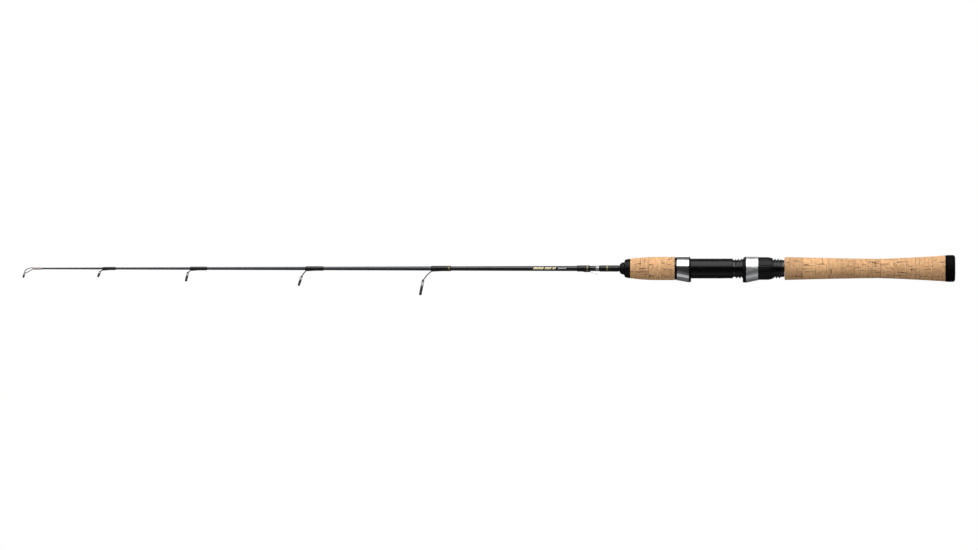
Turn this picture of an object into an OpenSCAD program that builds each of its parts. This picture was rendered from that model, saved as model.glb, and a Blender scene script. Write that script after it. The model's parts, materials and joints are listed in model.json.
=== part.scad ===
// Spinning rod with a cork handle, a screw-locked tube reel seat, four single-foot
// line guides and a tip-top. X runs along the rod: the butt face is at X = 0 and the
// tip points towards -X. Z is up and the guides hang below the blank. Places along
// the rod are given as a distance d from the butt face, so that X = -d.

/* [Blank] */
// Distance from the butt face to the tip end of the tapered blank
tip_d = 903; // [895:1:910]
// Distance from the butt face to the butt end of the blank, inside the butt cap
butt_d = 4; // [3:0.5:6]
// Outside diameter of the blank at its butt end
blank_butt_dia = 7.56; // [7.2:0.02:7.8]
// Outside diameter of the blank at its tip end
blank_tip_dia = 1.6; // [1.5:0.02:1.7]
// Wall of the tubular blank at its butt end
blank_wall = 1.1; // [0.8:0.1:1.4]
// Length of the blank's tip that is solid
solid_tip = 60; // [50:1:80]
// Gap that the glue fills between the blank and what sits on it
glue = 0.03; // [0.02:0.01:0.05]

/* [Butt cap] */
// Length of the rubber butt cap
cap_len = 9.7; // [9:0.1:11]
// Radius of the butt cap
cap_r = 13.2; // [13:0.05:13.6]
// Radius of the rounded rim of the butt cap
cap_rim = 3; // [2:0.1:3.5]

/* [Cork grips] */
// Thickness of one cork ring
cork_t = 12.7; // [12:0.1:13.5]
// Distance from the butt face to the front end of the rear grip
rear_front_d = 167.4; // [166:0.1:168]
// Distance from the butt face to the waist of the rear grip
waist_d = 76; // [60:1:100]
// Radius of the rear grip at its waist
waist_r = 9.5; // [9:0.1:10]
// Radius of the rear grip at its front end
rear_front_r = 11.3; // [10.8:0.1:11.6]
// Radius of the rear grip where it meets the butt cap
rear_back_r = 12.75; // [12.2:0.05:12.9]
// How sharply the rear grip flares away from its waist
flare = 1.35; // [1.1:0.05:2]
// Distance from the butt face to the back end of the fore grip
fore_back_d = 275.1; // [274.9:0.1:276]
// Distance from the butt face to the front end of the fore grip
fore_front_d = 318.7; // [317:0.1:320]
// Largest radius of the fore grip
fore_r = 11.4; // [11.2:0.1:11.8]
// Radius of the fore grip at its front end
fore_front_r = 9.55; // [9:0.05:10]
// Length at the back of the fore grip that keeps the largest radius
fore_straight = 14.9; // [10:0.1:20]
// Length of the winding check in front of the fore grip
check_len = 10.4; // [10.4:0.1:11]

/* [Reel seat] */
// Radius of the smooth seat barrel
barrel_r = 9.8; // [9.75:0.01:9.85]
// Radius of the bore through the seat
seat_bore_r = 7.4; // [7.2:0.1:7.5]
// Distance from the butt face to the back end of the seat
seat_back_d = 167.5; // [167.5:0.1:168]
// Distance from the butt face to the front end of the thread
thread_front_d = 218; // [217:0.5:220]
// Thread pitch
pitch = 3; // [2.9:0.05:3.1]
// Thread root radius
root_r = 8.45; // [8.4:0.01:8.6]
// Thread crest radius
crest_r = 9.6; // [9.5:0.01:9.65]
// Width of the keyway under the barrel
keyway_w = 3; // [2.5:0.1:3.5]
// Radius at the bottom of the keyway
keyway_r = 8.2; // [8.1:0.01:8.3]
// Distance from the butt face to the front end of the keyway
keyway_front_d = 226; // [224:0.5:228]
// Number of turns of the thread ridge
turns = 15.6; // [15:0.1:16]
// Radius of the flange at the front end of the seat
flange_r = 11.1; // [11:0.05:11.2]
// Thickness of that flange
flange_len = 2.2; // [2:0.1:2.4]
// Length of one foam arbor
arbor_len = 20; // [15:1:25]
// Distance from one arbor's back end to the next one's
arbor_step = 39; // [35:1:39]

/* [Hoods and lock nut] */
// Outside radius of both hoods where they are round
hood_r = 11.75; // [11.6:0.05:11.9]
// Radius of the pocket bulge under each hood
bulge_r = 10.7; // [10.3:0.1:10.9]
// Sheet thickness of the steel hood shells
shell_t = 0.6; // [0.5:0.05:0.7]
// Depth of a hood's foot pocket along the rod
pocket_len = 8; // [7:0.5:9]
// Height of the foot pocket at its mouth
pocket_h = 2.4; // [2:0.1:2.6]
// Radius of the hollow that holds the toe of the reel foot
toe_r = 9; // [8.8:0.05:9.2]
// Length of a hood's steel shell along the rod
hood_len = 11.7; // [11:0.1:12]
// Depth of the fixed hood's bulge below its round part
fixed_depth = 1.85; // [1.6:0.05:2]
// Depth of the moving hood's bulge below its round part
moving_depth = 2.25; // [2:0.05:2.4]
// How far the fixed hood's liner stands out of its shell
fixed_lip = 2.2; // [2:0.1:2.4]
// How far the moving hood's liner stands out of its shell
moving_lip = 3.4; // [3:0.1:3.6]
// Radial running gap between the moving hood and the barrel
hood_gap = 0.07; // [0.03:0.01:0.1]
// Distance from the butt face to the mouth of the fixed hood's shell
fixed_mouth_d = 261.2; // [260:0.1:262]
// Distance from the butt face to the mouth of the moving hood's shell
moving_mouth_d = 205; // [200:0.1:207]
// Outside radius of the lock nut at its front
nut_r = 11.15; // [11:0.05:11.3]
// Length of the lock nut outside the moving hood
nut_len = 14.4; // [14:0.1:14.6]
// Length of the nut's collar inside the moving hood
neck_len = 2.9; // [2.5:0.1:3]
// Radius of the hole at the back of the moving hood's shell
back_hole_r = 10.35; // [10.3:0.01:10.4]
// Number of flutes round the lock nut
flutes = 28; // [20:2:36]

/* [Guides] */
// Thickness of a guide's stamped steel frame
frame_t = 0.95; // [0.8:0.05:1]
// Wall of the steel band round a guide's ceramic ring
guide_band = 0.6; // [0.5:0.05:0.7]
// Drop of the tip ring's centre below the rod's axis
tip_drop = 6.5; // [6:0.1:7]
// Wall of the steel band round the tip ring
tip_band = 0.45; // [0.4:0.01:0.5]
// Outside radius of the tip-top's tube
tip_tube_r = 1.08; // [1.06:0.01:1.2]
// Length of the blank inside the tip-top's tube
tip_tube_len = 8; // [7:0.5:9]

/* [Wraps and hook keeper] */
// Thickness of a thread wrap with its varnish
wrap_t = 0.5; // [0.45:0.01:0.52]
// Distance from the butt face to the butt end of the butt wrap
butt_wrap_d = 329.4; // [329.3:0.1:331]
// Length of the butt wrap
butt_wrap_len = 19.7; // [18:0.1:19.8]
// Thickness of the butt wrap
butt_wrap_t = 0.42; // [0.38:0.01:0.45]
// Distance from the butt face to the butt end of the silver band
silver_d = 349.4; // [349.3:0.1:351]
// Distance from the butt face to the butt end of the keeper wrap
keeper_wrap_d = 357.7; // [357:0.1:359]
// Length of the keeper wrap
keeper_wrap_len = 13.3; // [12:0.1:14]
// Diameter of the hook keeper's wire
keeper_wire = 0.6; // [0.5:0.05:0.7]
// Distance of each of the keeper's two wires from the middle of the rod
keeper_half = 1; // [0.9:0.05:1.1]
// Drop of the keeper's loop below the rod's axis
keeper_drop = 5.7; // [5.2:0.1:6]
// How far the wires lift the keeper wrap underneath
keeper_low = 0.55; // [0.5:0.05:0.6]

/* [Hidden] */
rear_rings = ceil((rear_front_d - cap_len) / cork_t);
fore_rings = ceil((fore_front_d - fore_back_d) / cork_t);
seat_front_d = fore_back_d - flange_len;
ridge_front_d = thread_front_d - 1.5;
turn_fn = 96;
small_fn = 48;
thread_fn = 36;
wrap_fn = 32;
// Clearance round a part that is bound in thread
fit = 0.02;
// Thickness of a metallic thread band
trim_t = 0.07;
// How far a guide's foot lifts its wrap underneath
foot_low = 0.55;
// One row per guide, from the butt: distance of the ring's centre, its drop below
// the axis, ring diameter, bore diameter, lean, then the wrap's tip end, the foot's
// end and the wrap's butt end
GUIDES = [
  [523, 18.5, 15.6, 11.6, 11, 514, 501.5, 494],
  [642, 12, 10.5, 7.4, 18, 637, 625.5, 619],
  [753, 8, 9.5, 6.6, 13, 750, 740.5, 733],
  [839, 5.4, 6.5, 4.2, 24, 836, 827, 822.5]
];
// Tip ring: distance of its centre, ring diameter, bore diameter and lean
TIP = [tip_d + 9.7, 5.3, 3.4, 16];

// ---- shared shapes ----

// Blank radius at distance d
function blank_r(d) = let (t = (d - butt_d) / (tip_d - butt_d))
  (blank_butt_dia + (blank_tip_dia - blank_butt_dia) * t) / 2;
// Rear grip radius at distance d
function rear_r(d) = d > waist_d
  ? waist_r + (rear_front_r - waist_r) * pow((d - waist_d) / (rear_front_d - waist_d), flare)
  : waist_r + (rear_back_r - waist_r) * pow((waist_d - d) / (waist_d - cap_len), flare);
// Fore grip radius at distance d
function fore_radius(d) = let (start = fore_back_d + fore_straight)
  d < start ? fore_r : fore_r - (fore_r - fore_front_r) * pow((d - start) / (fore_front_d - start), 2.2);
// Points of an arc of radius r about c, from angle a to angle b
function arc(c, r, a, b, n = 6) = [for (i = [0 : n]) let (t = a + (b - a) * i / n) c + r * [cos(t), sin(t)]];
// Point at t on a curve from p through the pull of q to s
function bend(p, q, s, t) = (1 - t) * (1 - t) * p + 2 * t * (1 - t) * q + t * t * s;

// Solid of revolution about the rod's axis from points [radius, distance]
module turned(profile, fn = turn_fn) {
  rotate([0, -90, 0]) rotate_extrude($fn = fn) polygon(profile);
}

// Plain round bar about the rod's axis from d1 to d2, or a cone from r1 to r2
module bar(d1, d2, r1, r2, fn = turn_fn) {
  translate([-d1, 0, 0]) rotate([0, -90, 0]) cylinder(r1 = r1, r2 = r2, h = d2 - d1, $fn = fn);
}

// Space that the blank takes between d1 and d2, with the glue line round it
module blank_space(d1, d2) {
  bar(d1, d2, blank_r(d1) + glue, blank_r(d2) + glue);
}

// Side outline [distance, height] extruded across the rod, centred on y
module side_plate(outline, width, y = 0) {
  translate([0, y, 0]) rotate([90, 0, 0]) linear_extrude(width, center = true)
    polygon([for (p = outline) [-p[0], p[1]]]);
}

// Outline of a strip of thickness t along points [distance, height]
function strip(p, t) = let (n = len(p) - 1,
  dir = [for (i = [0 : n]) let (v = p[min(i + 1, n)] - p[max(i - 1, 0)]) v / norm(v)],
  side = [for (v = dir) [-v[1], v[0]] * t / 2])
  concat([for (i = [0 : n]) p[i] + side[i]], [for (i = [n : -1 : 0]) p[i] - side[i]]);

// One helical ridge about the rod's axis, right-handed, starting at distance d
module ridge(in_r, out_r, d, turns, in_w, out_w) {
  steps = floor(turns * thread_fn);
  form = [[in_r, -in_w / 2], [out_r, -out_w / 2], [out_r, out_w / 2], [in_r, in_w / 2]];
  points = [for (i = [0 : steps]) let (a = i * 360 / thread_fn) for (p = form)
    [p[1] + pitch * i / thread_fn - d, p[0] * cos(a), p[0] * sin(a)]];
  sides = [for (i = [0 : steps - 1]) for (k = [0 : 3]) let (a = 4 * i + k, b = 4 * i + (k + 1) % 4)
    each [[a, b, b + 4], [a, b + 4, a + 4]]];
  last = 4 * steps;
  polyhedron(points, concat([[3, 2, 1, 0]], sides, [[last, last + 1, last + 2, last + 3]]), 10);
}

// ---- blank and tip-top ----

module blank() {
  color("dimgray") difference() {
    bar(butt_d, tip_d, blank_r(butt_d), blank_r(tip_d));
    bar(butt_d - 1, tip_d - solid_tip, blank_r(butt_d) - blank_wall, 0.45, small_fn);
  }
}

// Places a child drawn about +Z on a line ring's axis: +Z points to the butt
module on_ring(d, drop, lean) {
  translate([-d, 0, -drop]) rotate([0, 90 + lean, 0]) children();
}

// Ceramic ring with rounded faces and a straight land in its bore
module ceramic(outer_dia, bore_dia, width) {
  ro = outer_dia / 2;
  ri = bore_dia / 2;
  flat = width / 2;
  land = width / 4;
  edge = (ro - ri) / 4;
  color([0.1, 0.1, 0.11]) rotate_extrude($fn = turn_fn) polygon([
    [ri, -land], [ri + edge, -flat], [ro - edge, -flat], [ro, edge - flat],
    [ro, flat - edge], [ro - edge, flat], [ri + edge, flat], [ri, land]
  ]);
}

// Steel band that holds a ceramic ring
module band(outer_dia, wall, width) {
  difference() {
    cylinder(d = outer_dia, h = width, center = true, $fn = turn_fn);
    cylinder(r = outer_dia / 2 - wall, h = width + 1, center = true, $fn = turn_fn);
  }
}

module tip_top_tube() {
  start = tip_d - tip_tube_len;
  color("rosybrown") difference() {
    bar(start, tip_d + 1, tip_tube_r, tip_tube_r, small_fn);
    bar(start - 1, tip_d + 0.1, blank_r(start - 1) + glue, blank_r(tip_d) + glue, small_fn);
  }
}

// Round strut between two points [x, y, z]
module strut(p, q, r) {
  v = q - p;
  translate(p) rotate([0, acos(v[2] / norm(v)), atan2(v[1], v[0])])
    cylinder(r = r, h = norm(v), $fn = small_fn);
}

module tip_top_frame() {
  ring_r = TIP[1] / 2;
  top = [TIP[0] - ring_r * sin(TIP[3]), ring_r * cos(TIP[3]) - tip_drop];
  over = [top[0] - 1, 0.4];
  root = [tip_d + 1, 0.35];
  color("silver") {
    on_ring(TIP[0], tip_drop, TIP[3]) band(TIP[1], tip_band, 1);
    difference() {
      union() {
        side_plate(strip([for (i = [0 : 8]) bend(top, over, root, i / 8)], 0.85), 1);
        for (s = [-1, 1])
          strut([-tip_d - 0.9, 0.6 * s, -0.3], [-TIP[0] + 0.9, 1.95 * s, 1.7 - tip_drop], 0.42);
      }
      on_ring(TIP[0], tip_drop, TIP[3])
        cylinder(r = ring_r - tip_band, h = 4, center = true, $fn = turn_fn);
      bar(tip_d - tip_tube_len, tip_d + 1, tip_tube_r + fit, tip_tube_r + fit, small_fn);
    }
  }
}

module tip_top_ring() {
  on_ring(TIP[0], tip_drop, TIP[3]) ceramic(TIP[1] - 2 * tip_band - 0.04, TIP[2], 1.6);
}

// ---- line guides ----

// Width of a guide's leg
function leg_width(g) = 1.2 + 0.11 * g[2];
// Height of the middle of a guide's foot at its heel
function foot_z(g) = -blank_r(g[5]) - frame_t / 2 - 0.05;

// Foot and leg of a guide in one stamped strip
module guide_strip(g) {
  lean = g[4];
  ring_r = g[2] / 2 - 0.3;
  heel = [g[5] - 1, foot_z(g)];
  top = [g[0] - ring_r * sin(lean) - 0.3, ring_r * cos(lean) - g[1]];
  pull = [heel[0] + 0.55 * (top[0] - heel[0]), heel[1] + 0.12 * (top[1] - heel[1])];
  leg = [for (i = [0 : 8]) bend(heel, pull, top, i / 8)];
  side_plate(strip(leg, frame_t), leg_width(g));
  side_plate([
    [heel[0] + 0.2, heel[1] + frame_t / 2], [heel[0] + 0.2, heel[1] - frame_t / 2],
    [g[6], -blank_r(g[6]) - 0.3], [g[6], -blank_r(g[6]) - 0.06]
  ], leg_width(g) - 0.5);
}

module guide_frame(i) {
  g = GUIDES[i - 1];
  color("silver") difference() {
    union() {
      guide_strip(g);
      on_ring(g[0], g[1], g[4]) band(g[2], guide_band, 1.2);
    }
    on_ring(g[0], g[1], g[4]) cylinder(r = g[2] / 2 - guide_band, h = 6, center = true, $fn = turn_fn);
    bar(g[6] - 2, g[5] + 3, blank_r(g[6] - 2) + glue, blank_r(g[5] + 3) + glue, small_fn);
  }
}

module guide_ring(i) {
  g = GUIDES[i - 1];
  on_ring(g[0], g[1], g[4]) ceramic(g[2] - 2 * guide_band - 0.04, g[3], 1.6 + 0.04 * g[2]);
}

// Varnished thread wrap round the blank from d1 to d2
module wrap_sleeve(d1, d2, t = wrap_t) {
  difference() {
    turned([
      [0.3, d1], [blank_r(d1) + 0.1, d1], [blank_r(d1) + t, d1 + 1.2],
      [blank_r(d2) + t, d2 - 1.2], [blank_r(d2) + 0.1, d2], [0.3, d2]
    ], small_fn);
    bar(d1 - 1, d2 + 1, blank_r(d1 - 1) + glue / 2, blank_r(d2 + 1) + glue / 2, small_fn);
  }
}

// Varnished wrap over a foot: one smooth skin through discs [distance, radius, drop]
module foot_wrap(d1, d2, discs) {
  difference() {
    hull() for (p = discs) translate([-p[0], 0, -p[2]]) rotate([0, -90, 0])
      cylinder(r = p[1], h = 0.05, $fn = wrap_fn);
    bar(d1 - 1, d2 + 1, blank_r(d1 - 1) + glue / 2, blank_r(d2 + 1) + glue / 2, small_fn);
  }
}

module guide_wrap(i) {
  g = GUIDES[i - 1];
  back = g[7];
  front = g[5];
  under = foot_z(g) - frame_t / 2 - fit;
  color([0.06, 0.06, 0.07]) difference() {
    foot_wrap(back, front, [
      [back, blank_r(back) + 0.1, 0], [back + 1.2, blank_r(back) + wrap_t, 0],
      [g[6] - 1, blank_r(g[6]) + wrap_t, 0], [front - 1, blank_r(front) + wrap_t, 0],
      [front - 0.9, blank_r(front) + wrap_t, foot_low], [front, blank_r(front) + 0.1, 0],
      [front, blank_r(front) + 0.15, foot_low]
    ]);
    side_plate([
      [front - 0.7, 0], [front - 0.7, under], [g[6] - fit, -blank_r(g[6]) - 0.3 - fit], [g[6] - fit, 0]
    ], leg_width(g) - 0.5 + 2 * fit);
    side_plate([
      [front + 3, 0], [front + 3, under - 2], [front - 1.1, under], [front - 1.1, 0]
    ], leg_width(g) + 2 * fit);
  }
}

// Thin metallic band of thread round a wrap of thickness t that hangs low by drop
module trim_band(d1, d2, t, drop = 0) {
  inner = blank_r(d1) + t + drop + 0.01;
  translate([0, 0, -drop]) difference() {
    bar(d1, d2, inner + trim_t, inner + trim_t);
    bar(d1 - 1, d2 + 1, inner, inner);
  }
}

module guide_trim() {
  back = GUIDES[0][7];
  color("tan") trim_band(back + 1.3, back + 3.4, wrap_t, 0.03);
}

// ---- hook keeper and butt wraps ----

// Height of the middle of the keeper's wires where they lie on the blank
keeper_foot = -blank_r(keeper_wrap_d) - keeper_wire / 2 + 0.03;

module hook_keeper() {
  d = keeper_wrap_d;
  run = [
    [d + 5.8, keeper_foot + 0.02], [d + 0.3, keeper_foot], [d - 2.1, -4.4],
    [d - 5.3, 0.7 - keeper_drop], [d - 6.4, -keeper_drop]
  ];
  color("gainsboro") {
    for (s = [-1, 1]) side_plate(strip(run, keeper_wire), keeper_wire, keeper_half * s);
    side_plate(strip([run[3], run[4]], keeper_wire), 2 * keeper_half + keeper_wire);
  }
}

module keeper_wrap() {
  d1 = keeper_wrap_d;
  d2 = d1 + keeper_wrap_len;
  under = keeper_foot - keeper_wire / 2 - fit;
  color([0.05, 0.05, 0.05]) difference() {
    foot_wrap(d1, d2, [
      [d2, blank_r(d2) + 0.1, 0], [d2 - 1.2, blank_r(d2) + wrap_t, 0],
      [d1 + 6, blank_r(d1 + 6) + wrap_t, keeper_low],
      [d1 + 0.8, blank_r(d1) + wrap_t, 0], [d1, blank_r(d1) + 0.15, 0],
      [d1 + 0.8, blank_r(d1) + wrap_t, keeper_low], [d1, blank_r(d1) + 0.2, keeper_low]
    ]);
    for (s = [-1, 1])
      side_plate([
        [d1 - 2, 0], [d1 - 2, under - 1], [d1 + 0.3, under],
        [d1 + 5.8 + fit, under + 0.02], [d1 + 5.8 + fit, 0]
      ], keeper_wire + 2 * fit, keeper_half * s);
  }
}

module keeper_trim() {
  back = keeper_wrap_d + 2.2;
  color("tan") trim_band(back, back + 1.7, wrap_t, keeper_low / 2);
}

module silver_trim() {
  color("silver") trim_band(silver_d, silver_d + 2.9, 0.05);
}

module butt_wrap() {
  color([0.05, 0.05, 0.05]) wrap_sleeve(butt_wrap_d, butt_wrap_d + butt_wrap_len, butt_wrap_t);
}

module butt_trim() {
  back = butt_wrap_d + 10.9;
  color("tan") trim_band(back, back + 1.9, butt_wrap_t);
}

// ---- handle ----

module winding_check() {
  foot = fore_front_d;
  color([0.04, 0.04, 0.04]) difference() {
    turned([
      [0.5, foot], [9.6, foot], [9.35, foot + 2.4], [8.6, foot + 5], [7.9, foot + 5.4],
      [6.15, foot + 6], [5.9, foot + 7.8], [5.1, foot + 9.2], [3.6, foot + check_len],
      [0.5, foot + check_len]
    ]);
    blank_space(foot - 1, foot + check_len + 1);
  }
}

// Cork ring between d1 and d2, its outside following radii sampled along it
module cork(d1, d2, radii) {
  last = len(radii) - 1;
  color("burlywood") difference() {
    turned(concat([[1, d1]], [for (i = [0 : last]) [radii[i], d1 + (d2 - d1) * i / last]], [[1, d2]]));
    blank_space(d1 - 1, d2 + 1);
  }
}

module fore_cork(i) {
  d1 = fore_back_d + (i - 1) * cork_t;
  d2 = min(d1 + cork_t, fore_front_d);
  cork(d1, d2, [for (k = [0 : 4]) fore_radius(d1 + (d2 - d1) * k / 4)]);
}

module rear_cork(i) {
  d1 = cap_len + (i - 1) * cork_t;
  d2 = min(d1 + cork_t, rear_front_d);
  cork(d1, d2, [for (k = [0 : 4]) rear_r(d1 + (d2 - d1) * k / 4)]);
}

module seat_arbor(i) {
  d1 = seat_back_d + 4 + (i - 1) * arbor_step;
  d2 = d1 + arbor_len;
  color("peru") difference() {
    bar(d1, d2, seat_bore_r - 0.05, seat_bore_r - 0.05);
    blank_space(d1 - 1, d2 + 1);
  }
}

module butt_cap() {
  flat_r = cap_r - cap_rim - 1.4;
  color([0.08, 0.08, 0.08]) difference() {
    turned(concat(
      [[0, 0], [flat_r, 0], [cap_r - cap_rim, 0.3]],
      arc([cap_r - cap_rim, cap_rim + 0.3], cap_rim, -75, 0),
      [[rear_back_r + 0.2, cap_len], [0, cap_len]]
    ));
    bar(butt_d - 0.1, cap_len + 1, blank_r(butt_d) + glue, blank_r(butt_d) + glue);
  }
}

// ---- reel seat ----

module reel_seat_body() {
  color([0.07, 0.07, 0.07]) difference() {
    union() {
      bar(thread_front_d, seat_front_d + 0.5, barrel_r, barrel_r);
      bar(seat_back_d, thread_front_d + 0.5, root_r, root_r);
      bar(seat_front_d, fore_back_d, flange_r, flange_r);
      ridge(root_r - 0.15, crest_r, ridge_front_d, turns, 1.9, 0.8);
    }
    bar(seat_back_d - 1, fore_back_d + 1, seat_bore_r, seat_bore_r);
    translate([-keyway_front_d, -keyway_w / 2, -barrel_r - 1])
      cube([keyway_front_d - seat_back_d + 1, keyway_w, barrel_r + 1 - keyway_r]);
  }
}

// Outer form of a hood between two distances: a round sleeve with a bulge under it
// that deepens towards the mouth. face is +1 when the mouth faces the butt.
module hood_form(d1, d2, mouth_d, face, depth, inset) {
  slope = atan(depth / (hood_len - 1.5));
  intersection() {
    union() {
      bar(d1 - 1, d2 + 1, hood_r - inset, hood_r - inset);
      translate([-mouth_d, 0, (bulge_r - inset) / cos(slope) - hood_r - depth + inset])
        rotate([0, face * slope - 90, 0])
          cylinder(r = bulge_r - inset, h = 60, center = true, $fn = turn_fn);
    }
    bar(d1, d2, 2 * hood_r, 2 * hood_r);
  }
}

// Space for the reel foot's toe, closed pocket_len behind the lip
module foot_pocket(mouth_d, face, depth) {
  slope = atan(pocket_h / pocket_len);
  low = hood_r + depth - shell_t - 0.55;
  translate([-mouth_d, 0, toe_r / cos(slope) - low]) rotate([0, face * slope - 90, 0])
    cylinder(r = toe_r, h = 60, center = true, $fn = turn_fn);
}

module fixed_hood_shell() {
  d1 = fixed_mouth_d;
  d2 = seat_front_d;
  color("lightgray") difference() {
    hood_form(d1, d2, d1, 1, fixed_depth, 0);
    hood_form(d1 - 1, d2 + 1, d1, 1, fixed_depth, shell_t);
  }
}

module fixed_hood_liner() {
  d1 = fixed_mouth_d;
  d2 = seat_front_d;
  color([0.09, 0.09, 0.09]) difference() {
    union() {
      hood_form(d1, d2 - 0.02, d1, 1, fixed_depth, shell_t + 0.02);
      intersection() {
        hood_form(d1 - fixed_lip, d1, d1, 1, fixed_depth, 0.25);
        translate([0, 0, -1]) bar(d1 - fixed_lip, d1 + 1, 11, 13);
      }
    }
    bar(d1 - fixed_lip - 1, d2 + 1, barrel_r + 0.02, barrel_r + 0.02);
    foot_pocket(d1 - fixed_lip, 1, fixed_depth);
  }
}

module moving_hood_shell() {
  d1 = moving_mouth_d - hood_len;
  d2 = moving_mouth_d;
  color("lightgray") difference() {
    hood_form(d1, d2, d2, -1, moving_depth, 0);
    hood_form(d1 + 0.7, d2 + 1, d2, -1, moving_depth, shell_t);
    bar(d1 - 1, d2 + 1, back_hole_r, back_hole_r);
  }
}

module moving_hood_liner() {
  d1 = moving_mouth_d - hood_len + neck_len + 0.4;
  d2 = moving_mouth_d;
  lip_d = d2 + moving_lip;
  bore = barrel_r + hood_gap;
  color([0.09, 0.09, 0.09]) {
    difference() {
      union() {
        hood_form(d1, d2, d2, -1, moving_depth, shell_t + 0.02);
        intersection() {
          hood_form(d2, lip_d, d2, -1, moving_depth, 0.15);
          translate([0, 0, -1]) bar(d2 - 1, lip_d, 14.4, 10.9);
        }
      }
      bar(d1 - 1, lip_d + 1, bore, bore);
      foot_pocket(lip_d, -1, moving_depth);
    }
    translate([-d1 - 3, -keyway_w / 2 + 0.2, -barrel_r - 0.3])
      cube([3, keyway_w - 0.4, barrel_r + 0.3 - keyway_r - 0.15]);
  }
}

module lock_nut() {
  front = moving_mouth_d - hood_len;
  back = front - nut_len;
  neck = front + neck_len;
  color([0.08, 0.08, 0.08]) difference() {
    turned([
      [8, back], [10.1, back], [10.45, back + 1], [10.9, back + 2.6], [nut_r, back + 4.6],
      [nut_r, front - 0.12], [10.2, front - 0.12], [10.2, front + 0.82], [10.75, front + 0.82],
      [10.75, neck], [8, neck]
    ]);
    bar(back - 1, neck + 1, root_r + 0.2, root_r + 0.2);
    ridge(root_r, crest_r + 0.15, ridge_front_d - 3 * pitch, 11, 2.2, 1.1);
    for (i = [0 : flutes - 1]) rotate([i * 360 / flutes, 0, 0])
      translate([-back - 4.2, 0, nut_r + 0.32]) rotate([0, -90, 0])
        cylinder(r = 0.55, h = nut_len - 5.8, $fn = 24);
  }
}

// ---- what is drawn ----

blank();
tip_top_tube();
tip_top_frame();
tip_top_ring();
for (i = [1 : 4]) {
  guide_frame(i);
  guide_ring(i);
  guide_wrap(i);
}
guide_trim();
hook_keeper();
keeper_wrap();
keeper_trim();
silver_trim();
butt_wrap();
butt_trim();
winding_check();
for (i = [1 : fore_rings]) fore_cork(i);
reel_seat_body();
fixed_hood_shell();
fixed_hood_liner();
moving_hood_shell();
moving_hood_liner();
lock_nut();
for (i = [1 : 3]) seat_arbor(i);
for (i = [1 : rear_rings]) rear_cork(i);
butt_cap();
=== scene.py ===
"""Looks of the spinning rod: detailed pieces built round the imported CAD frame.

The rod lies along X, butt at X = 0 and tip towards -X, guides below. Lengths in the
helpers are metres, and MM turns millimetres into them.
"""

import json
import math

import bpy
import numpy as np
from mathutils import Matrix, Vector


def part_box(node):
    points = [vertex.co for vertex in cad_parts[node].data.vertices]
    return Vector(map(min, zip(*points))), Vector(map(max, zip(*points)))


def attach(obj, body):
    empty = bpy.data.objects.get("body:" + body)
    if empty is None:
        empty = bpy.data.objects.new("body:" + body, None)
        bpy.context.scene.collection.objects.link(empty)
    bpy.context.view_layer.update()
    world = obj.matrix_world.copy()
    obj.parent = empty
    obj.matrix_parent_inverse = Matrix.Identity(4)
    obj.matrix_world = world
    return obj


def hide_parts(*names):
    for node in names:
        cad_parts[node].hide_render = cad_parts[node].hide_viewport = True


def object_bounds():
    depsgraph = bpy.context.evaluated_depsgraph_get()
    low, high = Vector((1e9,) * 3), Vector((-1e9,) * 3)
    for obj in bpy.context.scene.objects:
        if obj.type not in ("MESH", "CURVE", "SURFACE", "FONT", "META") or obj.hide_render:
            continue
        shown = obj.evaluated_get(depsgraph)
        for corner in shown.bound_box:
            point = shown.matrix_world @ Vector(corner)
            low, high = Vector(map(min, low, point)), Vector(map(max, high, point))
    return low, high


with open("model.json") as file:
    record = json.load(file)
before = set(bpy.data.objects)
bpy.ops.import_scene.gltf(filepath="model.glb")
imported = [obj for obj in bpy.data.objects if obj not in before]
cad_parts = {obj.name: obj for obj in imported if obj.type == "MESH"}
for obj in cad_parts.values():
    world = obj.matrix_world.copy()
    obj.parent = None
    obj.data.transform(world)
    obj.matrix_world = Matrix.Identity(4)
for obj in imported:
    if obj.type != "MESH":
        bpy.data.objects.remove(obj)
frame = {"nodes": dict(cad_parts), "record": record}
CAD_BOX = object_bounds()
MM = 0.001
NODES = frame["nodes"]
SCREW = frame["record"]["behaviour"]["couplings"][0]
PITCH = SCREW["ratio"] * 2 * math.pi

# ---- objects and camera ----


def add_object(name, data):
    """A new object in the scene."""
    obj = bpy.data.objects.new(name, data)
    bpy.context.scene.collection.objects.link(obj)
    return obj


PHOTO_WIDTH = 1.0485  # width of the view as a share of the rod's length
CAMERA_BACK = 2.0
CAMERA_Z = -6.4 * MM  # puts the rod at its height in the photo
centre = (CAD_BOX[0] + CAD_BOX[1]) / 2
camera_data = bpy.data.cameras.new("camera")
camera_data.type = "ORTHO"
camera_data.ortho_scale = (CAD_BOX[1].x - CAD_BOX[0].x) * PHOTO_WIDTH
camera = add_object("camera", camera_data)
camera.location = (centre.x, -CAMERA_BACK, CAMERA_Z)
camera.rotation_euler = (math.pi / 2, 0, 0)
bpy.context.scene.camera = camera

# ---- reading the frame ----

ON_PLANE = 0.01 * MM  # points this close to a plane are on it


def corners(node):
    """Every vertex of a CAD node as an array, in metres."""
    return np.array([v.co for v in NODES[node].data.vertices], float)


def blank_end(x):
    """Radius of the CAD blank at its end x."""
    co = corners("blank")
    co = co[np.abs(co[:, 0] - x) < ON_PLANE]
    return np.hypot(co[:, 1], co[:, 2]).max()


def blank_radius(x):
    """Radius of the blank at x."""
    return BUTT_R + (TIP_R - BUTT_R) * (x - BLANK_BUTT) / (BLANK_TIP - BLANK_BUTT)


BLANK_TIP, BLANK_BUTT = (c.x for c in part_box("blank"))
BUTT_R, TIP_R = blank_end(BLANK_BUTT), blank_end(BLANK_TIP)


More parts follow.
